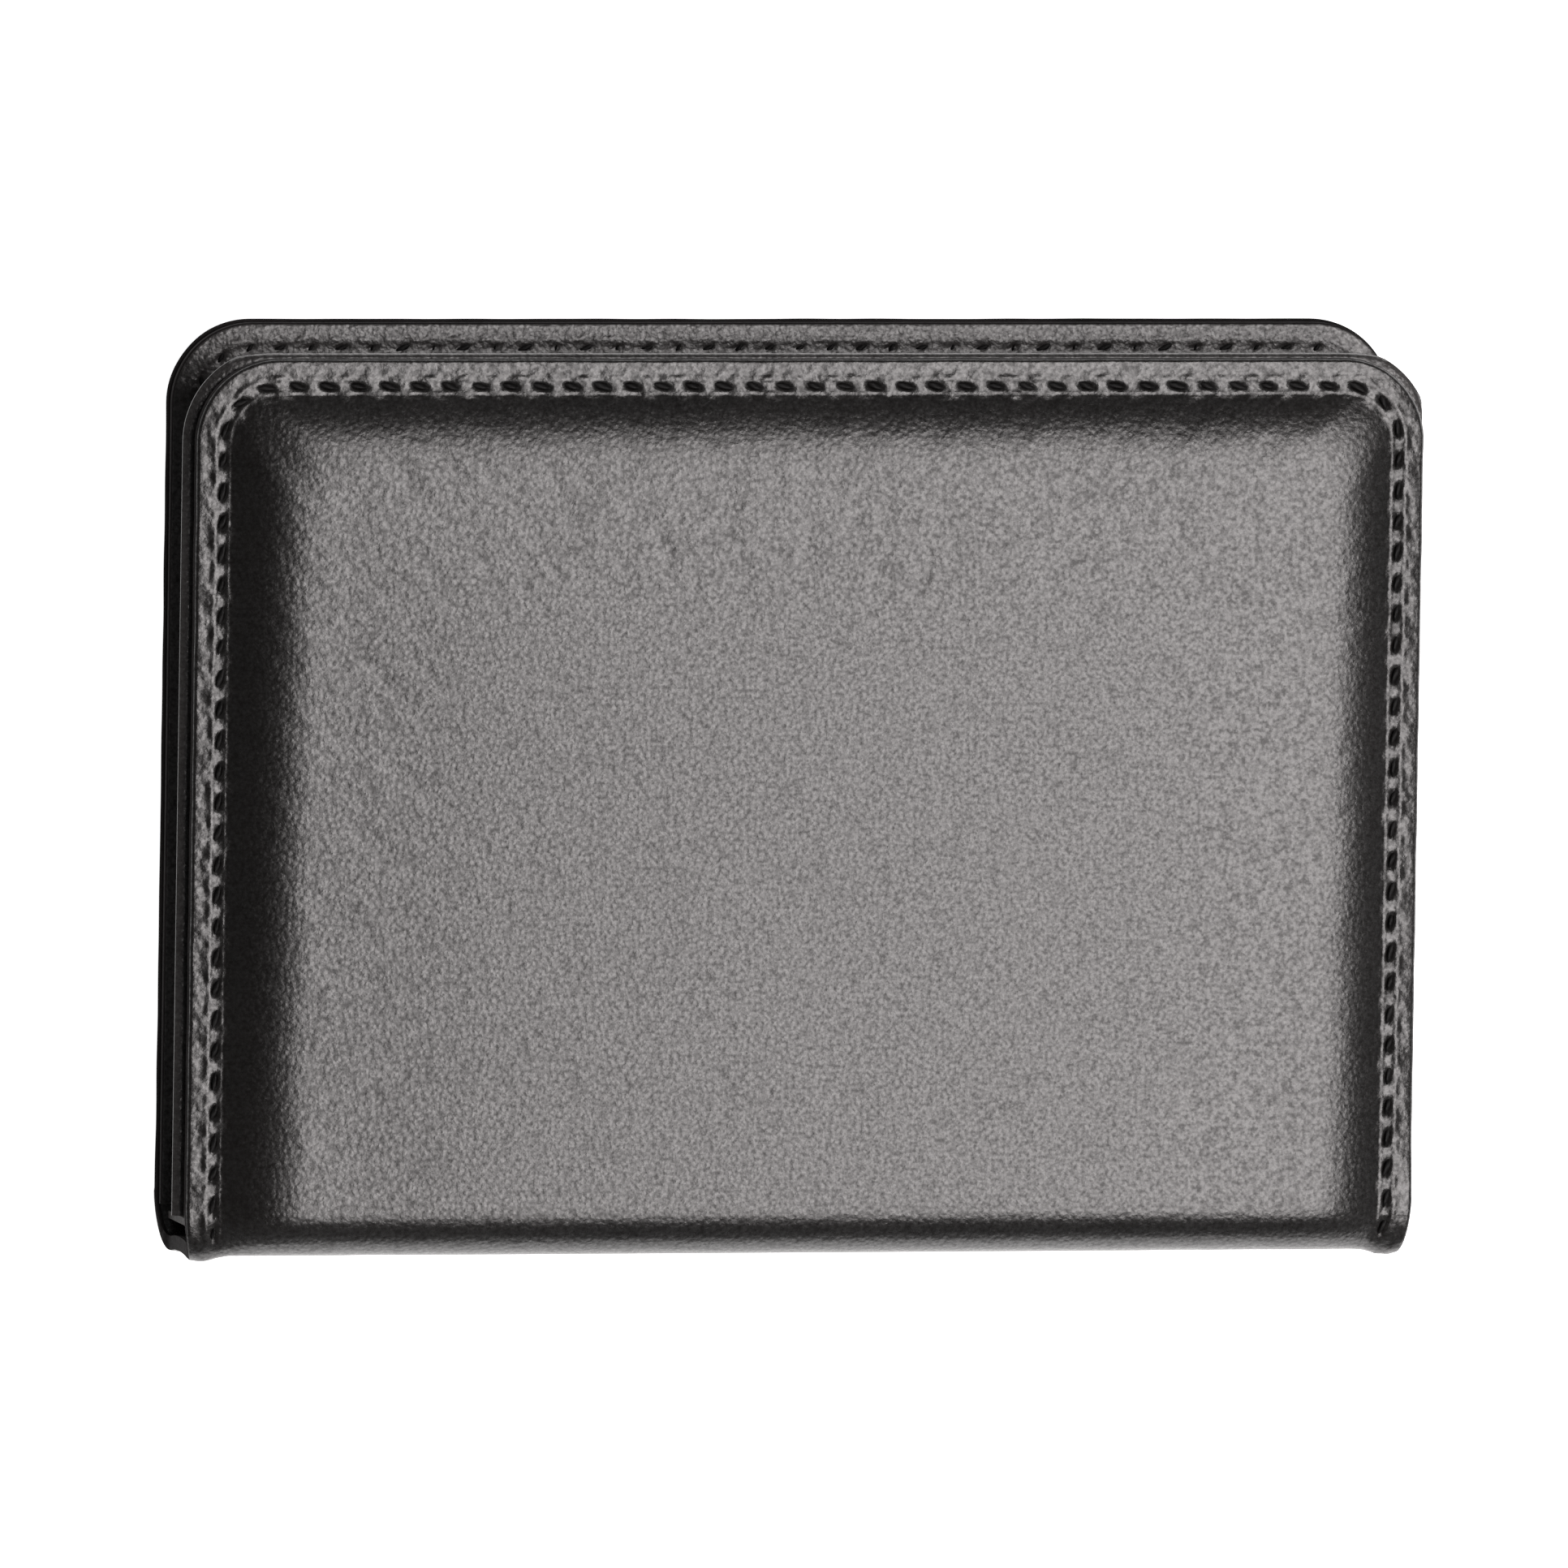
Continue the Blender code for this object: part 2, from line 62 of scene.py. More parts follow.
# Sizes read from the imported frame
REAR_LOW, REAR_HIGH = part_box("rear_cover")
FRONT_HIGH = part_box("front_cover")[1]
SPINE_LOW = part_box("spine_cover")[0]
LINING_LOW, LINING_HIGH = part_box("rear_lining")
HALF_WIDTH = (REAR_HIGH.x - REAR_LOW.x) / 2
REAR_EDGE = REAR_HIGH.y
FRONT_EDGE = FRONT_HIGH.y
SPINE_FACE = SPINE_LOW.y
CLOSED_THICKNESS = FRONT_HIGH.z
LEAF_THICKNESS = LINING_HIGH.z
LINING_SHEET = LINING_HIGH.z - LINING_LOW.z

# Sizes shared with the solids
CORNER_RADIUS = 7.0 * MM
PAD_CORNER_RADIUS = 4.0 * MM
FOLD_RADIUS = 4.4 * MM
LEATHER = 1.2 * MM
PAD_RISE = 1.9 * MM
PAD_MARGIN = 3.0 * MM
STITCH_MARGIN = 2.3 * MM
STITCH_PITCH = 2.6 * MM
SEAM_END_MARGIN = 1.4 * MM
FOLD_LINE = SPINE_FACE + FOLD_RADIUS

# Fine form of the raised panel and its border
PAD_RAMP = 7.2 * MM
PAD_CROWN_POWER = 2.3
PAD_DOME = 0.12 * MM
PAD_DOME_WIDTH = 16 * MM
EDGE_ROUND = 0.36 * MM
BACK_EDGE_ROUND = 0.3 * MM
BORDER_FALL = 0.06 * MM
SIDE_DROOP = 0.32 * MM
SIDE_START = 0.88
SIDE_BLEND = 0.10
SIDE_DROOP_FADE = 6 * MM

# Unevenness of the leather
WAVE_HEIGHT = 0.05 * MM
WAVE_LENGTH = 9.0 * MM
WAVE_LAST_INSET = 24 * MM
WAVE_FADE = 8 * MM
EDGE_WAVE = 0.07 * MM
EDGE_WAVE_WIDTH = 3 * MM

# Inner leather. The rear one ends inside its cover. The front one is skived thin and reaches past
# its cover: by all of its reach on the right, by a share of it at the far edge and on the left
LINING_FALL = 0.16 * MM
LINING_INSET = 0.22 * MM
LINING_ROUND = 0.18 * MM
LINING_ROUND_WIDTH = 0.3 * MM
LINING_CHAMFER = 0.1 * MM
FRONT_LINING_REACH = 0.80 * MM
FAR_REACH_SHARE = 0.4
LEFT_REACH_SHARE = 0.1
SKIVED_WIDTH = 0.32 * MM
SKIVED_DEPTH = 0.30 * MM
SHOULDER_WIDTH = 0.50 * MM
SHOULDER_DEPTH = 0.09 * MM

# Seams. A dash is the cosine, along the pitch, below which the leather gives way to the thread
SEAM_DEPTH = 0.42 * MM
SEAM_WIDTH = 0.26 * MM
SEAM_SLANT = 0.40
SEAM_VARIATION = 0.45
SEAM_VARIATION_LENGTH = 3.1 * STITCH_PITCH
SEAM_OVER_FOLD = 2
LINING_SEAM_SHARE = 0.6
OUTER_DASH = 0.35
INNER_DASH = -0.15
DASH_SOFTNESS = 1.3
LIP_RISE = 0.10 * MM
LIP_OFFSET = 0.66 * MM
LIP_WIDTH = 0.28 * MM
LUMP_HEIGHT = 0.075 * MM
LUMP_LENGTH = 1.5 * MM
LUMP_OFFSET = 1.0 * MM
BORDER_LUMP_WIDTH = 0.9 * MM
PANEL_LUMP_WIDTH = 0.6 * MM

# Threads
THREAD_SLANT = 0.22 * MM
THREAD_WIDTH = 0.20 * MM
THREAD_HEIGHT = 0.22 * MM
THREAD_SINK = 0.36 * MM
THREAD_ARCH = 0.21 * MM
THREAD_TURNS = 1.2
THREAD_PLY = 0.035 * MM
THREAD_SIDES = 12
THREAD_STEPS = 14
OUTER_THREAD_END = 0.15
INNER_THREAD_END = 0.30
SLANT_LOOSENESS = 0.6
WIDTH_LOOSENESS = 0.2
END_LOOSENESS = 0.5
ARCH_LOOSENESS = 0.15

# Folds
FOLD_NARROWING = 0.9 * MM
FOLD_BULGE = 0.45 * MM
FOLD_BULGE_INSET = 0.9 * MM
FOLD_BULGE_HEIGHT = 2 * MM

# Foam under the raised panels
FOAM_CORNER_RADIUS = 4 * MM
FOAM_ROUND = 2.4 * MM
FOAM_ROUND_DROP = 0.45
FOAM_BACK_INSET = 0.3 * MM
FOAM_PINCH = 0.5 * MM
FOAM_STATIONS = 12
FOAM_ROUND_ROWS = 5
FOAM_SIDE_LENGTH = 10 * MM

# Gusset
GUSSET_EDGE_ROUND = 0.08 * MM
GUSSET_BEVEL_ANGLE = math.radians(40)
GUSSET_SHARP_ANGLE = math.radians(50)

# Sampling of the meshes
SAMPLE = 0.33 * MM
FOLD_ROWS = 12
SPINE_ROWS = 5
SHARP_ANGLE = math.radians(55)
SLOPE_STEP = 0.05 * MM
DIRECTION_STEP = 0.1 * MM
MERGE_DISTANCE = 0.001 * MM
SEAM_ZONE_START = 1.2 * MM
SEAM_ZONE_END = 3.6 * MM
COVER_LAST_INSET = 26 * MM
LINING_LAST_INSET = 9 * MM
EDGE_STEP = 0.06 * MM
SEAM_STEP = 0.12 * MM
BORDER_STEP = 0.16 * MM
RAMP_STEP = 0.40 * MM
PANEL_STEP = 1.6 * MM
LINING_BORDER_STEP = 0.15 * MM
LINING_STEP = 1.2 * MM
RAMP_SHARES = (0.0, 0.15, 0.35, 0.6, 0.8, 1.0)

# The camera looks down at the front leaf, a little from the left and from beyond its far edge
VIEW_LEFT = math.radians(12.6)
VIEW_FAR = math.radians(5.0)
VIEW_ROLL = math.radians(0.9)
CAMERA_LENS = 800.0
SENSOR = 36.0
FRAME_WIDTH = 130.7 * MM
AIM = Vector((-2.50 * MM, 0.95 * MM, CLOSED_THICKNESS))

# Studio
SOFTBOX_HEIGHT = 0.60
SOFTBOX_LEFT = 0.030
SOFTBOX_RIGHT = 0.48
SOFTBOX_NEAR = -0.42
SOFTBOX_FAR = 0.27
SOFTBOX_POWER = 5.2
SOFTBOX_COLOUR = (1.0, 0.955, 0.950)
HORIZON_GLOW = 0.19
SKY_GLOW = 0.035
HORIZON_GLOW_END = 0.30
SKY_GLOW_START = 0.85
FLOOR_REACH = 3.0
FLOOR_DROP = 0.05 * MM
# Painted light: the floor glows round the wallet, fully out to FLOOR_GLOW_FULL and fading out by
# FLOOR_GLOW_END, filling in the wallet's shadow
FLOOR_GLOW = 0.95
FLOOR_GLOW_FULL = 0.12
FLOOR_GLOW_END = 0.45


def smooth_step(value):
    """An even rise from 0 to 1, level at both ends."""
    value = np.clip(value, 0.0, 1.0)
    return value * value * (3 - 2 * value)


def bell(value, width):
    """A rounded bump of height 1 round zero."""
    return np.exp(-((value / width) ** 2))


def waves(x, y, seed, length=WAVE_LENGTH):
    """Slow waves between -1 and 1, from a few crossed sines. The seed moves and turns them."""
    total = 0.0
    for index, (turn, stretch) in enumerate(((0.3, 1.0), (1.5, 1.37), (2.4, 0.71), (0.9, 1.9))):
        phase = seed * 1.7 + index * 2.1
        along = x * math.cos(turn + seed) + y * math.sin(turn + seed)
        total = total + np.sin(along * stretch * 2 * math.pi / length + phase)
    return total / 4


class Leaf:
    """One leaf's open outline: stations along its left, far and right sides.

    At each end, more stations follow the fold round to the middle of the spine.
    """

    def __init__(self, far, fold=True, near=FOLD_LINE):
        self.far = far
        self.near = near
        radius = CORNER_RADIUS - STITCH_MARGIN
        side = (far - STITCH_MARGIN - radius) - near
        top = 2 * (HALF_WIDTH - STITCH_MARGIN - radius)
        corner = radius * math.pi / 2
        self.length = 2 * (side + corner) + top
        kinds, shares, runs = [], [], []
        start = 0.0
        for kind, length in enumerate((side, corner, top, corner, side)):
            count = max(2, round(length / SAMPLE))
            for step in range(count + (kind == 4)):
                kinds.append(kind)
                shares.append(step / count)
                runs.append(start + length * step / count)
            start += length
        self.kinds = np.array(kinds)
        self.shares = np.array(shares)
        self.runs = np.array(runs)
        self.fold = fold
        if fold:
            self.add_fold_stations()

    def add_fold_stations(self):
        """Angles round the fold's arc, then distances along the flat of the spine."""
        turns = [math.pi / 2 * (row + 1) / FOLD_ROWS for row in range(FOLD_ROWS)]
        flat = CLOSED_THICKNESS / 2 - FOLD_RADIUS
        drops = [0.0] * FOLD_ROWS + [flat * (row + 1) / SPINE_ROWS for row in range(SPINE_ROWS)]
        self.turns = np.array(turns + [math.pi / 2] * SPINE_ROWS)
        self.drops = np.array(drops)
        beyond = FOLD_RADIUS * self.turns + self.drops
        self.runs = np.concatenate([-beyond[::-1], self.runs, self.length + beyond])

    def outline(self, inset):
        """X and Y of every station on the leaf at one inset from the edge."""
        radius = max(CORNER_RADIUS - inset, PAD_CORNER_RADIUS)
        side = HALF_WIDTH - inset
        top = self.far - inset
        share = self.shares
        angle = share * math.pi / 2
        straight = self.near + share * (top - radius - self.near)
        back = top - radius + share * (self.near - top + radius)
        across = (side - radius) * (2 * share - 1)
        x = np.select(
            [self.kinds == kind for kind in range(5)],
            [
                np.full(share.shape, -side),
                -side + radius - radius * np.cos(angle),
                across,
                side - radius + radius * np.sin(angle),
                np.full(share.shape, side),
            ],
        )
        y = np.select(
            [self.kinds == kind for kind in range(5)],
            [
                straight,
                top - radius + radius * np.sin(angle),
                np.full(share.shape, top),
                top - radius + radius * np.cos(angle),
                back,
            ],
        )
        return x, y

    def ring(self, inset, height, relief, wall):
        """Points of one ring: fold, left, far and right sides, fold.

        Height is that of the plain face, and relief what is added to it at each station.
        """
        x, y = self.outline(inset)
        if not self.fold:
            return np.stack([x, y, height + relief], axis=1)
        bent = len(self.turns)
        points = np.stack([x, y, height + relief[bent:-bent]], axis=1)
        return np.concatenate(
            [
                self.bent(x[0], inset, height, relief[:bent][::-1], wall)[::-1],
                points,
                self.bent(x[-1], inset, height, relief[-bent:], wall),
            ]
        )

    def bent(self, x, inset, height, relief, wall):
        """Points of one ring round a fold and down the spine's flat, on one side."""
        turns, drops = self.turns, self.drops
        share = turns / (math.pi / 2)
        narrow = 1 - FOLD_NARROWING / HALF_WIDTH * share**1.5
        fade = share**2 * bell(drops, FOLD_BULGE_HEIGHT)
        bulge = FOLD_BULGE * bell(inset - FOLD_BULGE_INSET, PAD_MARGIN / 2) * fade
        reach = FOLD_RADIUS - wall - relief + bulge
        y = FOLD_LINE - reach * np.sin(turns)
        z = FOLD_RADIUS - (FOLD_RADIUS - height - relief) * np.cos(turns) + drops
        return np.stack([x * narrow, y, z], axis=1)


def stitch_holes(first, last):
    """Places of the needle holes along a seam, evenly spaced."""
    count = round((last - first) / STITCH_PITCH)
    return np.linspace(first, last, count + 1)


def leaf_holes(leaf, lead):
    """The needle holes of a leaf's seam. Lead is what the leaf has before the fold line."""
    over = SEAM_OVER_FOLD * STITCH_PITCH if leaf.fold else 0.0
    first = lead + SEAM_END_MARGIN - over
    return stitch_holes(first, leaf.length - first)


def seam_relief(leaf, inset, holes, seed, dash):
    """How far the leather is drawn in (positive) or stands up at the seam."""
    offset = inset - STITCH_MARGIN
    run = leaf.runs
    pitch = holes[1] - holes[0]
    ends = smooth_step((run - holes[0] + pitch / 2) / pitch)
    ends = ends * smooth_step((holes[-1] + pitch / 2 - run) / pitch)
    share = ((run - holes[0] + SEAM_SLANT * offset) / pitch) % 1.0
    phase = np.cos(2 * math.pi * share)
    sunk = smooth_step((dash - phase) / DASH_SOFTNESS) * ends
    pull = 1 + SEAM_VARIATION * waves(run, np.zeros(run.shape), seed + 4, SEAM_VARIATION_LENGTH)
    channel = SEAM_DEPTH * pull * bell(offset - THREAD_SLANT * (1 - 2 * share), SEAM_WIDTH) * sunk
    lips = bell(abs(offset) - LIP_OFFSET, LIP_WIDTH)
    lobes = LIP_RISE * (2 - pull) * lips * (0.5 + 0.5 * phase) * ends
    near_seam = bell(offset + LUMP_OFFSET, BORDER_LUMP_WIDTH)
    near_seam = near_seam + 0.5 * bell(offset - LUMP_OFFSET, PANEL_LUMP_WIDTH)
    lumps = LUMP_HEIGHT * near_seam * waves(run * 0.7, inset, seed + 9, LUMP_LENGTH)
    return channel - lobes + lumps


def fall(inset):
    """How far a sewn border has curved away towards its edge, from 0 at the seam to 1."""
    return max(0.0, 1 - inset / STITCH_MARGIN) ** 2


def pad_height(inset):
    """Height of the padded panel's outer face at an inset, without seam and unevenness."""
    border = PAD_RISE + BORDER_FALL * fall(inset)
    if inset < EDGE_ROUND:
        left = 1 - inset / EDGE_ROUND
        return border + EDGE_ROUND * (1 - math.sqrt(max(0.0, 1 - left * left)))
    if inset < PAD_MARGIN:
        return border
    step = (inset - PAD_MARGIN) / PAD_RAMP
    if step < 1:
        return PAD_DOME + (PAD_RISE - PAD_DOME) * (1 - step) ** PAD_CROWN_POWER
    rise = float(smooth_step((inset - PAD_MARGIN - PAD_RAMP) / PAD_DOME_WIDTH))
    return PAD_DOME * (1 - rise)


def pad_slope(inset):
    """How steeply the padded panel rises at an inset, towards its middle."""
    step = SLOPE_STEP
    return (pad_height(inset - step) - pad_height(inset + step)) / (2 * step)


def insets(*runs):
    """Zero, then the insets of several (start, end, step) runs, without each run's start."""
    result = [0.0]
    for start, end, step in runs:
        count = max(1, round((end - start) / step))
        result += [start + (end - start) * (i + 1) / count for i in range(count)]
    return result


def mesh_piece(name, points, faces, material, cut_faces=0):
    """A mesh object. The last cut_faces faces are a sheet's cut edge."""
    mesh = bpy.data.meshes.new(name)
    mesh.from_pydata([tuple(p) for p in points], [], faces)
    mesh.shade_smooth()
    mesh.set_sharp_from_angle(angle=SHARP_ANGLE)
    mesh.materials.append(material)
    if cut_faces:
        mesh.materials.append(CUT_EDGE)
        for face in mesh.polygons[len(faces) - cut_faces :]:
            face.material_index = 1
    piece = bpy.data.objects.new(name, mesh)
    bpy.context.scene.collection.objects.link(piece)
    return piece


def sheet_mesh(outer_rings, inner_rings, bent, outer_cut, inner_cut):
    """Closes two stacks of rings, outer face first, into one sheet. Bent counts fold stations.

    The faces of the cut edge come last.
    """
    points, faces, cut = [], [], []

    def face_of(rings, flip, cut_rings):
        starts = []
        for ring in rings:
            starts.append(len(points))
            points.extend(ring)
        size = len(rings[0])
        for a, b in zip(starts, starts[1:]):
            for i in range(size - 1):
                quad = (a + i, a + i + 1, b + i + 1, b + i)
                rounding = a in starts[:cut_rings]
                (cut if rounding else faces).append(quad[::-1] if flip else quad)
        last = starts[-1]
        for i in range(bent):
            quad = (last + i, last + i + 1, last + size - 2 - i, last + size - 1 - i)
            faces.append(quad[::-1] if flip else quad)
        middle = tuple(range(last + bent, last + size - bent))
        faces.append(middle[::-1] if flip else middle)
        return starts, size

    lower, size = face_of(outer_rings, False, outer_cut)
    upper, _ = face_of(inner_rings, True, inner_cut)
    for i in range(size - 1):
        cut.append((lower[0] + i + 1, lower[0] + i, upper[0] + i, upper[0] + i + 1))
    rim_low = list(lower) + [a + size - 1 for a in reversed(lower)]
    rim_high = list(upper) + [a + size - 1 for a in reversed(upper)]
    cut.append(tuple(rim_low + rim_high[::-1]))
    return points, faces + cut, len(cut)


def turned_over(points):
    """The same points on the front leaf: half a turn about Y."""
    result = np.array(points)
    result[:, 0] *= -1
    result[:, 2] = CLOSED_THICKNESS - result[:, 2]
    return result


def cover_leather(name, far, seed, front, material):
    """Outer leather of a leaf: edge, seam, raised panel, and its half of the spine."""
    leaf = Leaf(far)
    holes = leaf_holes(leaf, 0.0)
    plain = np.zeros(leaf.runs.shape)
    fine = insets(
        (0.0, EDGE_ROUND, EDGE_STEP),
        (EDGE_ROUND, SEAM_ZONE_START, BORDER_STEP),
        (SEAM_ZONE_START, SEAM_ZONE_END, SEAM_STEP),
        (SEAM_ZONE_END, PAD_MARGIN + PAD_RAMP, RAMP_STEP),
        (PAD_MARGIN + PAD_RAMP, COVER_LAST_INSET, PANEL_STEP),
    )
    outer = []
    for inset in fine:
        relief = seam_relief(leaf, inset, holes, seed, OUTER_DASH)
        if inset > STITCH_MARGIN:
            relief = relief + np.abs(unevenness(leaf, inset, seed))
        relief = relief + side_droop(leaf, inset)
        height = pad_height(inset)
        points = leaf.ring(inset, height, np.maximum(relief, -height), 0.0)
        outer.append(edge_wander(points, leaf, seed, smooth_step(1 - inset / EDGE_WAVE_WIDTH)))
    back = PAD_RISE + LEATHER
    inner = [
        leaf.ring(0.0, back - BACK_EDGE_ROUND, plain, LEATHER),
        leaf.ring(BACK_EDGE_ROUND, back, plain, LEATHER),
    ]
    for step in RAMP_SHARES:
        at = PAD_MARGIN + PAD_RAMP * step
        slope = pad_slope(at)
        length = math.hypot(1, slope)
        height = back if step == 0 else pad_height(at) + LEATHER / length
        inner.append(leaf.ring(at + LEATHER * slope / length, height, plain, LEATHER))
    inner[0] = edge_wander(inner[0], leaf, seed, 1.0)
    points, faces, cut = sheet_mesh(outer, inner, FOLD_ROWS + SPINE_ROWS, 1, 1)
    points = turned_over(points) if front else np.array(points)
    return mesh_piece(name, points, faces, material, cut)


def side_droop(leaf, inset):
    """How much further the sewn border has sagged on the leaf's left side than elsewhere."""
    x, y = leaf.outline(inset)
    share = smooth_step((-x / HALF_WIDTH - SIDE_START) / SIDE_BLEND)
    share = share * smooth_step((y - FOLD_LINE) / SIDE_DROOP_FADE)
    return SIDE_DROOP * fall(inset) * np.pad(share, len(leaf.turns))


def unevenness(leaf, inset, seed):
    """Slow unevenness of a padded face, fading out towards its seam and its flat middle."""
    fade = smooth_step((inset - STITCH_MARGIN) / MM) * smooth_step((WAVE_LAST_INSET - inset) / WAVE_FADE)
    return WAVE_HEIGHT * fade * waves(leaf.runs, np.full(leaf.runs.shape, inset), seed)


def edge_wander(points, leaf, seed, fade):
    """Hand-cut edges wander a little: draws points in towards the leaf's middle."""
    centre = np.array([0.0, leaf.far / 3])
    result = np.array(points)
    away = result[:, :2] - centre
    away /= np.linalg.norm(away, axis=1)[:, None]
    amount = EDGE_WAVE * float(fade) * 0.5 * (1 + waves(result[:, 0], result[:, 1], seed + 5))
    keep = result[:, 1] > FOLD_LINE
    result[keep, :2] -= away[keep] * amount[keep, None]
    return result


def lining_leather(name, far, seed, front, material):
    """Inner leather of a leaf, with the seam's inner side in it."""
    leaf = Leaf(far, fold=False, near=LINING_LOW.y)
    holes = leaf_holes(leaf, FOLD_LINE - LINING_LOW.y)
    plain = np.zeros(leaf.runs.shape)
    start = -FRONT_LINING_REACH if front else LINING_INSET
    fine = [start + inset for inset in insets((0.0, LINING_ROUND_WIDTH, EDGE_STEP))]
    fine += insets(
        (fine[-1], SEAM_ZONE_START, LINING_BORDER_STEP),
        (SEAM_ZONE_START, SEAM_ZONE_END, SEAM_STEP),
        (SEAM_ZONE_END, LINING_LAST_INSET, LINING_STEP),
    )[1:]
    top_rings = []
    for inset in fine:
        rounding = max(0.0, 1 - (inset - start) / LINING_ROUND_WIDTH)
        drop = LINING_ROUND * (1 - math.sqrt(max(0.0, 1 - rounding**2))) + LINING_FALL * fall(inset)
        relief = seam_relief(leaf, inset, holes, seed, INNER_DASH)
        top_rings.append(leaf.ring(inset, LEAF_THICKNESS - drop, -relief * LINING_SEAM_SHARE, 0.0))
    low = LEAF_THICKNESS - LINING_SHEET
    if front:
        shoulder = SKIVED_WIDTH + SHOULDER_WIDTH
        falls = ((0.0, SKIVED_DEPTH), (SKIVED_WIDTH, SHOULDER_DEPTH), (shoulder, 0.0))
    else:
        falls = ((0.0, LINING_CHAMFER), (LINING_CHAMFER, 0.0))
    bottom = [leaf.ring(start + width, low + depth, plain, 0.0) for width, depth in falls]
    bottom.append(leaf.ring(LINING_LAST_INSET, low, plain, 0.0))
    points, faces, cut = sheet_mesh(bottom, top_rings, 0, 1, 2)
    points = np.array(points)
    points[:, 1] -= (1 - FAR_REACH_SHARE) * np.maximum(points[:, 1] - far, 0.0)
    points[:, 0] += (1 - LEFT_REACH_SHARE) * np.maximum(-HALF_WIDTH - points[:, 0], 0.0)
    if front:
        points = turned_over(points)
    return mesh_piece(name, points, faces, material, 0 if front else cut)


def stitch_row(name, leaf, holes, outward, material, front):
    """Single stitches of a twisted thread, each from hole to hole, joined in one mesh.

    Outward is -1 on the outer face and 1 on the inner one.
    """
    line = leaf.ring(STITCH_MARGIN, PAD_RISE, np.zeros(leaf.runs.shape), 0.0)
    inner = leaf.ring(STITCH_MARGIN + DIRECTION_STEP, PAD_RISE, np.zeros(leaf.runs.shape), 0.0)
    if outward > 0:
        line[:, 2] = inner[:, 2] = LEAF_THICKNESS

    def at(rows, run):
        return Vector([float(np.interp(run, leaf.runs, rows[:, axis])) for axis in range(3)])

    tail = INNER_THREAD_END if outward > 0 else OUTER_THREAD_END
    points, faces = [], []
    for index, (a, b) in enumerate(zip(holes, holes[1:])):
        start = len(points)
        loose = math.sin(index * 2.4) * math.sin(index * 5.1 + 1.0)
        slant = THREAD_SLANT * (1 + SLANT_LOOSENESS * loose)
        width = THREAD_WIDTH * (1 + WIDTH_LOOSENESS * loose)
        end = tail * (1 + END_LOOSENESS * math.sin(index * 3.3))
        for i in range(THREAD_STEPS + 1):
            share = i / THREAD_STEPS
            run = a + (b - a) * (end + (1 - 2 * end) * share)
            centre = at(line, run)
            along = at(line, run + DIRECTION_STEP) - at(line, run - DIRECTION_STEP)
            along.normalize()
            across = (at(inner, run) - centre).normalized()
            out = along.cross(across).normalized()
            if out.z * outward < 0 or (abs(out.z) < 0.2 and out.y > 0):
                out = -out
            centre = centre + across * slant * (1 - 2 * share)
            arch = THREAD_ARCH * (1 + ARCH_LOOSENESS * loose) * math.sin(math.pi * share) ** 0.6
            centre += out * (arch - THREAD_SINK)
            taper = math.sqrt(min(1.0, 0.25 + 5 * share, 0.10 + 2.2 * (1 - share)))
            for side in range(THREAD_SIDES):
                angle = 2 * math.pi * side / THREAD_SIDES
                ply = THREAD_PLY * math.cos(3 * angle + THREAD_TURNS * 2 * math.pi * share)
                wide = (width + ply) * taper * math.cos(angle)
                high = (THREAD_HEIGHT + ply) * taper * math.sin(angle)
                points.append(centre + across * wide + out * high)
        for i in range(THREAD_STEPS):
            for side in range(THREAD_SIDES):
                j = (side + 1) % THREAD_SIDES
                low = start + i * THREAD_SIDES
                faces.append((low + side, low + j, low + THREAD_SIDES + j, low + THREAD_SIDES + side))
        first = tuple(range(start, start + THREAD_SIDES))
        last = tuple(i + THREAD_STEPS * THREAD_SIDES for i in first)
        faces += [first[::-1], last]
    points = turned_over(points) if front else np.array(points)
    row = mesh_piece(name, points, faces, material)
    recalculate(row)
    return row


def recalculate(piece):
    """Turns every closed shell of a mesh the right way out."""
    mesh = bmesh.new()
    mesh.from_mesh(piece.data)
    bmesh.ops.recalc_face_normals(mesh, faces=mesh.faces)
    mesh.to_mesh(piece.data)
    mesh.free()


class Nodes:
    """A new material, and a short way to add and link its nodes."""

    def __init__(self, name):
        self.material = bpy.data.materials.new(name)
        self.material.use_nodes = True
        self.tree = self.material.node_tree
        self.shader = self.tree.nodes["Principled BSDF"]

    def add(self, kind, **values):
        node = self.tree.nodes.new(kind)
        for key, value in values.items():
            if key in node.inputs:
                node.inputs[key].default_value = value
            else:
                setattr(node, key, value)
        return node

    def link(self, source, target):
        self.tree.links.new(source, target)


def millimetre_space(nodes):
    """Object coordinates in millimetres."""
    place = nodes.add("ShaderNodeTexCoord")
    scale = nodes.add("ShaderNodeMapping")
    scale.inputs["Scale"].default_value = (1000.0, 1000.0, 1000.0)
    nodes.link(place.outputs["Object"], scale.inputs["Vector"])
    return scale.outputs["Vector"]


def mix(nodes, factor, low, high):
    """A colour between two, by a factor socket."""
    node = nodes.add("ShaderNodeMix")
    node.data_type = "RGBA"
    node.inputs["A"].default_value = (*low, 1.0)
    node.inputs["B"].default_value = (*high, 1.0)
    nodes.link(factor, node.inputs["Factor"])
    return node.outputs["Result"]


def map_range(nodes, value, low, high, to_low, to_high):
    """A value socket, mapped from one range to another and kept within it."""
    node = nodes.add("ShaderNodeMapRange")
    node.inputs["From Min"].default_value = low
    node.inputs["From Max"].default_value = high
    node.inputs["To Min"].default_value = to_low
    node.inputs["To Max"].default_value = to_high
    nodes.link(value, node.inputs["Value"])
    return node.outputs["Result"]


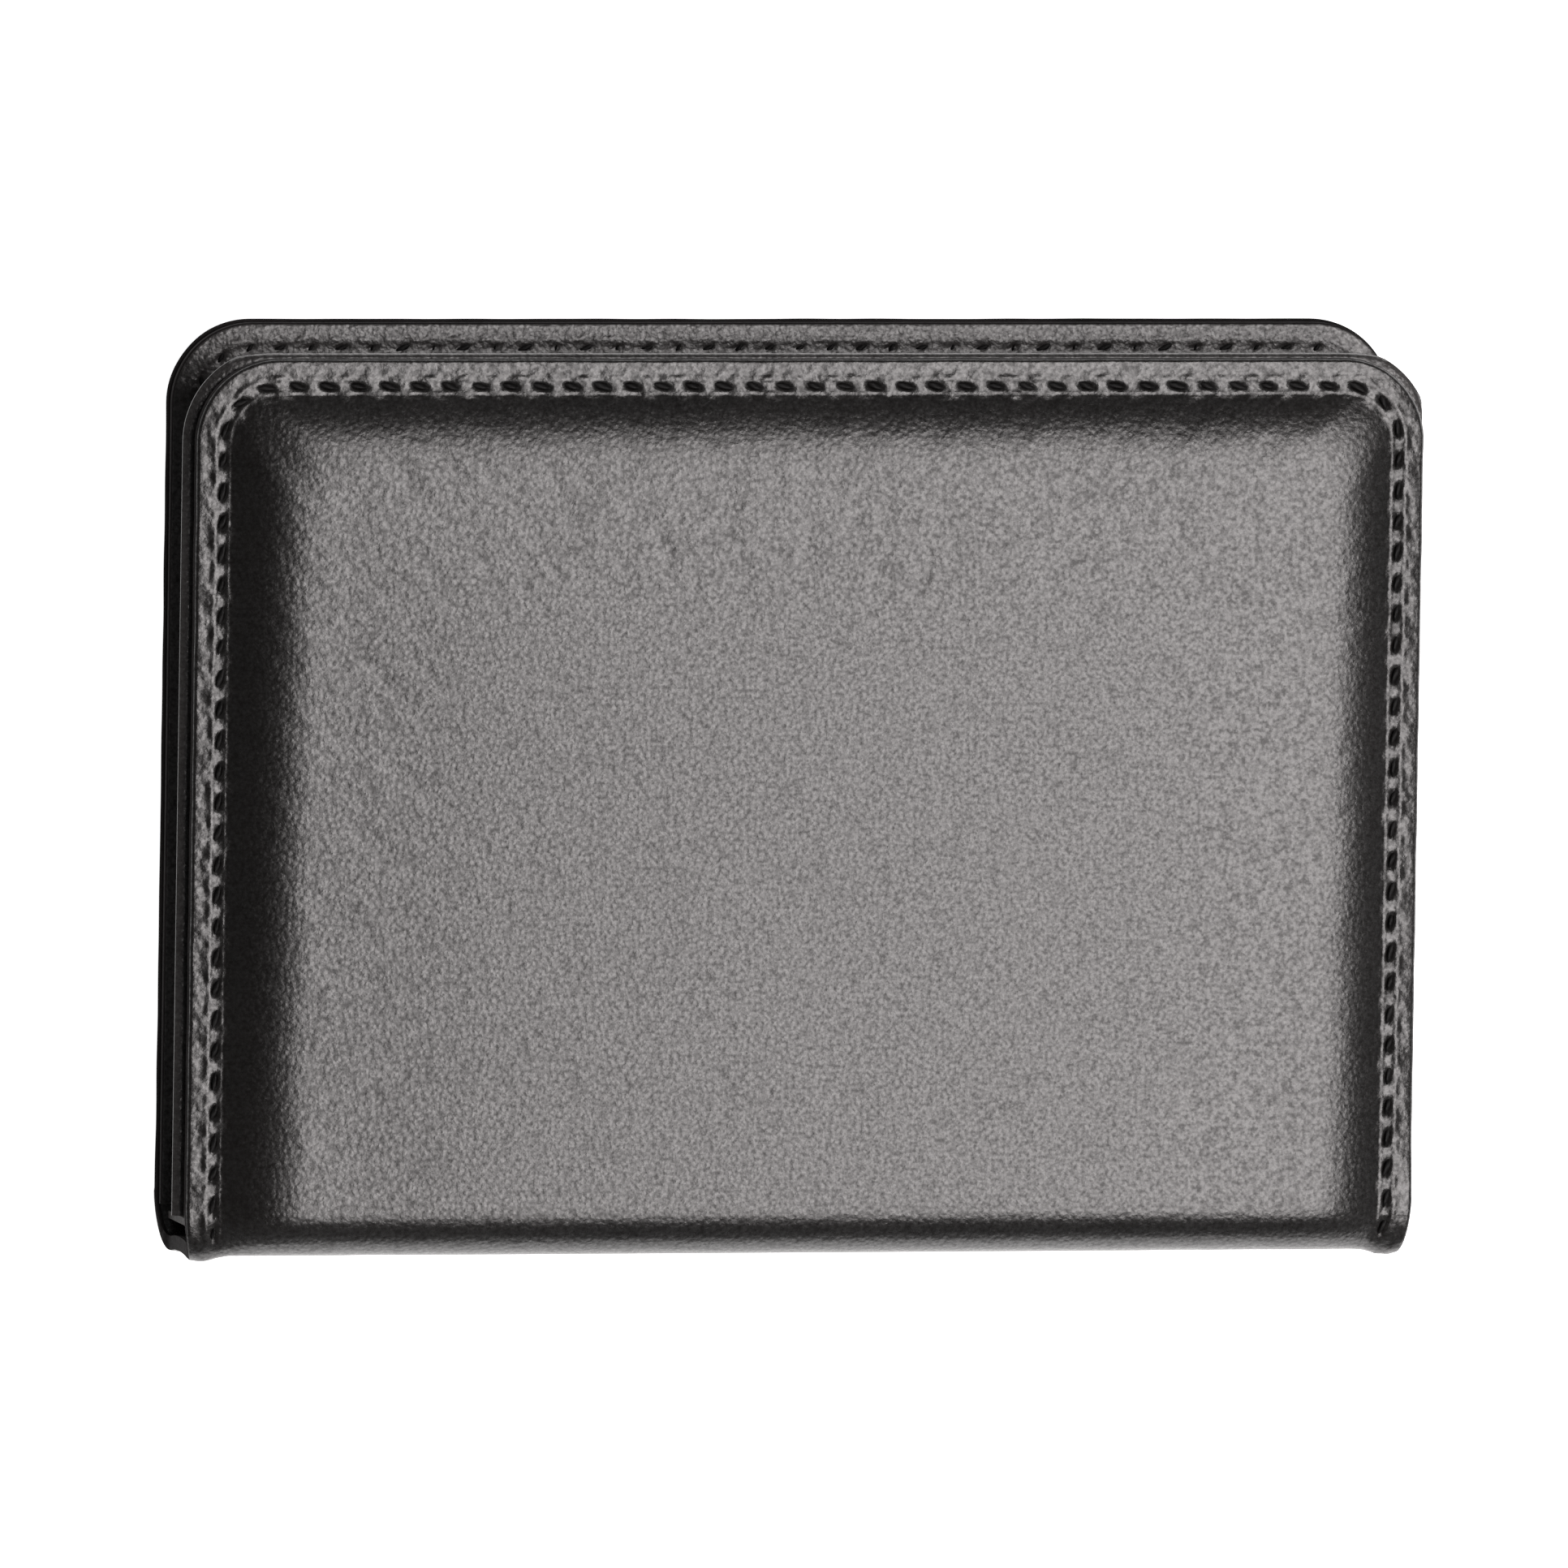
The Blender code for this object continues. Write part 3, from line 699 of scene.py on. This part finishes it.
def leather_material(name, dark, light, roughness, grain, depth, specular, speckle):
    """Grained leather, mottled between two colours, with a gleam that varies by the speckle share.

    Grain is the size of a cell in millimetres, and depth the relief in metres.
    """
    nodes = Nodes(name)
    space = millimetre_space(nodes)

    # Cells of the grain, pushed askew by a noise
    warp = nodes.add("ShaderNodeTexNoise", Scale=0.9 / grain, Detail=3.0)
    nodes.link(space, warp.inputs["Vector"])
    bend = nodes.add("ShaderNodeVectorMath", operation="MULTIPLY_ADD")
    bend.inputs[1].default_value = (grain * 0.3,) * 3
    nodes.link(warp.outputs["Color"], bend.inputs[0])
    nodes.link(space, bend.inputs[2])
    cells = nodes.add("ShaderNodeTexVoronoi", Scale=1.0 / grain)
    cells.feature = "SMOOTH_F1"
    cells.inputs["Smoothness"].default_value = 0.55
    nodes.link(bend.outputs["Vector"], cells.inputs["Vector"])

    # Relief: the cells with finer pores on them
    fine = nodes.add("ShaderNodeTexNoise", Scale=2.6 / grain, Detail=4.0)
    nodes.link(space, fine.inputs["Vector"])
    height = nodes.add("ShaderNodeMath", operation="MULTIPLY_ADD")
    nodes.link(fine.outputs["Fac"], height.inputs[0])
    height.inputs[1].default_value = 0.6
    nodes.link(cells.outputs["Distance"], height.inputs[2])
    bump = nodes.add("ShaderNodeBump")
    bump.inputs["Strength"].default_value = 1.0
    bump.inputs["Distance"].default_value = depth
    bump.invert = True
    nodes.link(height.outputs["Value"], bump.inputs["Height"])
    nodes.link(bump.outputs["Normal"], nodes.shader.inputs["Normal"])

    # Colour and roughness, in broad clouds and in pores
    broad = nodes.add("ShaderNodeTexNoise", Scale=0.09, Detail=3.0)
    nodes.link(space, broad.inputs["Vector"])
    tone = map_range(nodes, broad.outputs["Fac"], 0.35, 0.65, 0.0, 1.0)
    nodes.link(mix(nodes, tone, dark, light), nodes.shader.inputs["Base Color"])
    rough = map_range(nodes, fine.outputs["Fac"], 0.3, 0.7, roughness - 0.05, roughness + 0.06)
    nodes.link(rough, nodes.shader.inputs["Roughness"])

    # Gleam, weaker between the cells and in specks
    speck = nodes.add("ShaderNodeTexNoise", Scale=1.55 / grain, Detail=2.0)
    nodes.link(space, speck.inputs["Vector"])
    gleam = nodes.add("ShaderNodeMath", operation="MULTIPLY_ADD")
    nodes.link(cells.outputs["Distance"], gleam.inputs[0])
    gleam.inputs[1].default_value = -0.35
    nodes.link(speck.outputs["Fac"], gleam.inputs[2])
    least = specular * (1 - speckle)
    most = specular * (1 + speckle)
    shine = map_range(nodes, gleam.outputs["Value"], 0.10, 0.50, least, most)
    nodes.link(shine, nodes.shader.inputs["Specular IOR Level"])
    return nodes.material


def porous_material(name, dark, light, scale, depth):
    """Foam or board: a fibrous or open-celled face without shine. Scale is in cells per mm."""
    nodes = Nodes(name)
    space = millimetre_space(nodes)
    pores = nodes.add("ShaderNodeTexVoronoi", Scale=scale)
    nodes.link(space, pores.inputs["Vector"])
    fibre = nodes.add("ShaderNodeTexNoise", Scale=scale * 1.5, Detail=4.0)
    nodes.link(space, fibre.inputs["Vector"])
    nodes.link(mix(nodes, fibre.outputs["Fac"], dark, light), nodes.shader.inputs["Base Color"])
    bump = nodes.add("ShaderNodeBump")
    bump.inputs["Distance"].default_value = depth
    nodes.link(pores.outputs["Distance"], bump.inputs["Height"])
    nodes.link(bump.outputs["Normal"], nodes.shader.inputs["Normal"])
    nodes.shader.inputs["Roughness"].default_value = 0.9
    nodes.shader.inputs["Specular IOR Level"].default_value = 0.2
    return nodes.material


def thread_material():
    """Black waxed thread, nearly dull."""
    nodes = Nodes("waxed_thread")
    space = millimetre_space(nodes)
    fibre = nodes.add("ShaderNodeTexNoise", Scale=9.0, Detail=3.0)
    nodes.link(space, fibre.inputs["Vector"])
    tone = mix(nodes, fibre.outputs["Fac"], (0.002, 0.002, 0.002), (0.007, 0.006, 0.006))
    nodes.link(tone, nodes.shader.inputs["Base Color"])
    bump = nodes.add("ShaderNodeBump")
    bump.inputs["Distance"].default_value = 0.02 * MM
    nodes.link(fibre.outputs["Fac"], bump.inputs["Height"])
    nodes.link(bump.outputs["Normal"], nodes.shader.inputs["Normal"])
    nodes.shader.inputs["Roughness"].default_value = 0.6
    nodes.shader.inputs["Specular IOR Level"].default_value = 0.25
    return nodes.material


def floor_material():
    """A pale floor with painted light: it glows round the wallet and fills in the wallet's shadow, so
    that it stays white in the picture.
    """
    nodes = Nodes("pale_floor")
    nodes.shader.inputs["Base Color"].default_value = (0.93, 0.93, 0.93, 1.0)
    nodes.shader.inputs["Roughness"].default_value = 0.9
    nodes.shader.inputs["Specular IOR Level"].default_value = 0.0
    place = nodes.add("ShaderNodeTexCoord")
    reach = nodes.add("ShaderNodeVectorMath", operation="LENGTH")
    nodes.link(place.outputs["Object"], reach.inputs[0])
    # Painted light: a glow that is full near the wallet and fades with distance, filling in the wallet's
    # shadow
    glow = map_range(nodes, reach.outputs["Value"], FLOOR_GLOW_FULL, FLOOR_GLOW_END, FLOOR_GLOW, 0.0)
    nodes.shader.inputs["Emission Color"].default_value = (1.0, 1.0, 1.0, 1.0)
    nodes.link(glow, nodes.shader.inputs["Emission Strength"])
    return nodes.material


GRAINED = leather_material(
    "grained_leather",
    dark=(0.0055, 0.0048, 0.0045),
    light=(0.008, 0.007, 0.0066),
    roughness=0.29,
    grain=0.46,
    depth=0.028 * MM,
    specular=0.74,
    speckle=0.42,
)
SMOOTH = leather_material(
    "smooth_leather",
    dark=(0.010, 0.009, 0.009),
    light=(0.018, 0.016, 0.016),
    roughness=0.38,
    grain=0.36,
    depth=0.03 * MM,
    specular=0.8,
    speckle=0.4,
)
LINED = leather_material(
    "lining_leather",
    dark=(0.020, 0.018, 0.0175),
    light=(0.034, 0.031, 0.030),
    roughness=0.33,
    grain=0.40,
    depth=0.04 * MM,
    specular=0.85,
    speckle=0.5,
)
MATTE_LINING = leather_material(
    "matte_lining",
    dark=(0.022, 0.020, 0.019),
    light=(0.036, 0.033, 0.032),
    roughness=0.68,
    grain=0.40,
    depth=0.04 * MM,
    specular=0.2,
    speckle=0.5,
)
CUT_EDGE = leather_material(
    "cut_edge",
    dark=(0.006, 0.005, 0.005),
    light=(0.012, 0.010, 0.010),
    roughness=0.75,
    grain=0.30,
    depth=0.03 * MM,
    specular=0.06,
    speckle=0.3,
)
THREAD = thread_material()
FOAM = porous_material(
    "grey_foam",
    dark=(0.16, 0.16, 0.17),
    light=(0.24, 0.24, 0.25),
    scale=3.0,
    depth=0.08 * MM,
)
# Painted shade: the board is near black rather than grey, so that its end seen in the fold's gap reads
# as shade
BOARD = porous_material(
    "grey_board",
    dark=(0.022, 0.021, 0.019),
    light=(0.040, 0.038, 0.035),
    scale=1.6,
    depth=0.02 * MM,
)


def dress_covers():
    """Outer leather, which bends at the folds."""
    rear = cover_leather("rear_outer_leather", REAR_EDGE, 1.0, False, GRAINED)
    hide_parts("rear_cover", "spine_cover")
    front = cover_leather("front_outer_leather", FRONT_EDGE, 2.0, True, GRAINED)
    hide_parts("front_cover", "spine_cover")
    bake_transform(rear)
    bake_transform(front)


def dress_linings():
    """Inner leather, which stays flat on its leaf."""
    rear = lining_leather("rear_inner_leather", REAR_EDGE, 3.0, False, LINED)
    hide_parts("rear_lining")
    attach(rear, "rear_leaf")
    front = lining_leather("front_inner_leather", FRONT_EDGE, 4.0, True, LINED)
    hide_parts("front_lining")
    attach(front, "front_leaf")


def dress_seams():
    """Both rows of stitches of each leaf. The outer row goes on round the fold."""
    for body, far, front in (("rear", REAR_EDGE, False), ("front", FRONT_EDGE, True)):
        leaf = Leaf(far)
        row = stitch_row(body + "_stitches", leaf, leaf_holes(leaf, 0.0), -1, THREAD, front)
        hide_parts(body + "_stitching")
        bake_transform(row)
        leaf = Leaf(far, fold=False)
        holes = leaf_holes(leaf, 0.0)
        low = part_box(body + "_inside_stitching")[0].y
        y = leaf.outline(STITCH_MARGIN)[1]
        kept = holes[np.interp(holes, leaf.runs, y) > low]
        inside = stitch_row(body + "_inside_stitches", leaf, kept, 1, THREAD, front)
        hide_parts(body + "_inside_stitching")
        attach(inside, body + "_leaf")


def rounded_outline(low, high, radius, inset):
    """A rounded rectangle whose sides pull in a little between its corners."""
    points = []
    centres = ((high.x, high.y, 0), (low.x, high.y, 90), (low.x, low.y, 180), (high.x, low.y, 270))
    for x, y, start in centres:
        cx = x - math.copysign(radius, x)
        cy = y - (radius if start < 180 else -radius)
        for i in range(FOAM_STATIONS + 1):
            angle = math.radians(start + 90 * i / FOAM_STATIONS)
            reach = radius - inset
            points.append((cx + reach * math.cos(angle), cy + reach * math.sin(angle)))
    result = []
    for a, b in zip(points, points[1:] + points[:1]):
        result.append(a)
        length = math.hypot(b[0] - a[0], b[1] - a[1])
        if length < FOAM_SIDE_LENGTH:
            continue
        nx, ny = (a[1] - b[1]) / length, (b[0] - a[0]) / length
        for i in range(1, FOAM_STATIONS):
            share = i / FOAM_STATIONS
            pull = FOAM_PINCH * math.sin(math.pi * share)
            x = a[0] + (b[0] - a[0]) * share + nx * pull
            y = a[1] + (b[1] - a[1]) * share + ny * pull
            result.append((x, y))
    return result


def foam_pad(name, node, front):
    """Thin foam under a raised panel: crowned on its outer side, flat on the board."""
    low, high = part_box(node)
    thickness = high.z - low.z
    back = CLOSED_THICKNESS - low.z if front else high.z
    radius = FOAM_CORNER_RADIUS
    rings = [[(x, y, back) for x, y in rounded_outline(low, high, radius, FOAM_BACK_INSET)]]
    for row in range(FOAM_ROUND_ROWS + 1):
        share = row / FOAM_ROUND_ROWS
        drop = FOAM_ROUND_DROP - FOAM_ROUND_DROP * math.sin(share * math.pi / 2)
        level = back - thickness * (1 - drop)
        rings.append([(x, y, level) for x, y in rounded_outline(low, high, radius, FOAM_ROUND * share)])
    points = [point for ring in rings for point in ring]
    size = len(rings[0])
    faces = [tuple(range(size))]
    for k in range(len(rings) - 1):
        for i in range(size):
            j = (i + 1) % size
            faces.append((k * size + i, (k + 1) * size + i, (k + 1) * size + j, k * size + j))
    faces.append(tuple(reversed(range((len(rings) - 1) * size, len(rings) * size))))
    points = np.array(points)
    if front:
        points[:, 2] = CLOSED_THICKNESS - points[:, 2]
    piece = mesh_piece(name, points, faces, FOAM)
    recalculate(piece)
    return piece


def dress_pads():
    """The soft padding under both raised panels."""
    for body, front in (("rear", False), ("front", True)):
        pad = foam_pad(body + "_padding", body + "_foam_pad", front)
        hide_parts(body + "_foam_pad")
        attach(pad, body + "_leaf")


def dress_gusset():
    """The pleated gusset closes up as the pocket slides, so it bends between leaf and pocket."""
    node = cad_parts["pocket_gusset"]
    mesh = bmesh.new()
    mesh.from_mesh(node.data)
    bmesh.ops.remove_doubles(mesh, verts=mesh.verts, dist=MERGE_DISTANCE)
    bmesh.ops.bevel(
        mesh,
        geom=[edge for edge in mesh.edges if edge.calc_face_angle(0.0) > GUSSET_BEVEL_ANGLE],
        offset=GUSSET_EDGE_ROUND,
        segments=2,
        affect="EDGES",
    )
    data = bpy.data.meshes.new("pocket_gusset_leather")
    mesh.to_mesh(data)
    mesh.free()
    data.shade_smooth()
    data.set_sharp_from_angle(angle=GUSSET_SHARP_ANGLE)
    data.materials.append(SMOOTH)
    piece = bpy.data.objects.new("pocket_gusset_leather", data)
    bpy.context.scene.collection.objects.link(piece)
    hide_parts("pocket_gusset")
    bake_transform(piece)


def finish_nodes():
    """Materials for the solids that stay."""
    looks = {
        "pocket_panel": SMOOTH,
        "pocket_lining": LINED,
        "pocket_stitching": THREAD,
        "upper_card_slot": SMOOTH,
        "lower_card_slot": SMOOTH,
        "spine_lining": MATTE_LINING,
        "spine_board": BOARD,
        "rear_board": BOARD,
        "front_board": BOARD,
    }
    for name, look in looks.items():
        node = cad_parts[name]
        node.data.materials.clear()
        node.data.materials.append(look)


def add_camera():
    """A long lens at the photograph's viewing angle."""
    back = Vector((-math.tan(VIEW_LEFT), math.tan(VIEW_FAR), 1.0)).normalized()
    up = Vector((0, 1, 0))
    up = (up - back * up.dot(back)).normalized()
    right = up.cross(back)
    right, up = (
        right * math.cos(VIEW_ROLL) + up * math.sin(VIEW_ROLL),
        up * math.cos(VIEW_ROLL) - right * math.sin(VIEW_ROLL),
    )
    place = AIM + back * FRAME_WIDTH * CAMERA_LENS / SENSOR
    data = bpy.data.cameras.new("camera")
    data.lens = CAMERA_LENS
    data.sensor_width = SENSOR
    data.clip_start = 0.01
    data.clip_end = 10.0
    camera = bpy.data.objects.new("camera", data)
    camera.matrix_world = Matrix(
        (
            (right.x, up.x, back.x, place.x),
            (right.y, up.y, back.y, place.y),
            (right.z, up.z, back.z, place.z),
            (0, 0, 0, 1),
        )
    )
    bpy.context.scene.collection.objects.link(camera)
    bpy.context.scene.camera = camera


def add_softbox():
    """A level softbox above the wallet, to the right, where its faces mirror it to the camera."""
    data = bpy.data.lights.new("softbox", "AREA")
    data.shape = "RECTANGLE"
    data.size = SOFTBOX_RIGHT - SOFTBOX_LEFT
    data.size_y = SOFTBOX_FAR - SOFTBOX_NEAR
    data.energy = SOFTBOX_POWER
    data.color = SOFTBOX_COLOUR
    light = bpy.data.objects.new("softbox", data)
    across = (SOFTBOX_LEFT + SOFTBOX_RIGHT) / 2
    along = (SOFTBOX_NEAR + SOFTBOX_FAR) / 2
    light.location = (across, along, SOFTBOX_HEIGHT)
    bpy.context.scene.collection.objects.link(light)


def add_stage():
    """A plain floor just below the wallet."""
    mesh = bpy.data.meshes.new("floor")
    signs = ((-1, -1), (1, -1), (1, 1), (-1, 1))
    points = [(x * FLOOR_REACH, y * FLOOR_REACH, -FLOOR_DROP) for x, y in signs]
    mesh.from_pydata(points, [], [(0, 1, 2, 3)])
    mesh.materials.append(floor_material())
    floor = bpy.data.objects.new("floor", mesh)
    bpy.context.scene.collection.objects.link(floor)


def add_lights():
    """The softbox, and a studio that is lighter near its horizon than overhead."""
    add_softbox()
    world = bpy.data.worlds.new("studio")
    world.use_nodes = True
    tree = world.node_tree
    background = tree.nodes["Background"]
    background.inputs["Color"].default_value = (1.0, 1.0, 1.0, 1.0)
    direction = tree.nodes.new("ShaderNodeTexCoord")
    split = tree.nodes.new("ShaderNodeSeparateXYZ")
    fade = tree.nodes.new("ShaderNodeMapRange")
    fade.inputs["From Min"].default_value = HORIZON_GLOW_END
    fade.inputs["From Max"].default_value = SKY_GLOW_START
    fade.inputs["To Min"].default_value = HORIZON_GLOW
    fade.inputs["To Max"].default_value = SKY_GLOW
    tree.links.new(split.inputs["Vector"], direction.outputs["Generated"])
    tree.links.new(fade.inputs["Value"], split.outputs["Z"])
    tree.links.new(background.inputs["Strength"], fade.outputs["Result"])
    bpy.context.scene.world = world
    bpy.context.scene.view_settings.view_transform = "Standard"


add_camera()
dress_covers()
dress_linings()
dress_seams()
dress_pads()
dress_gusset()
finish_nodes()
add_stage()
add_lights()
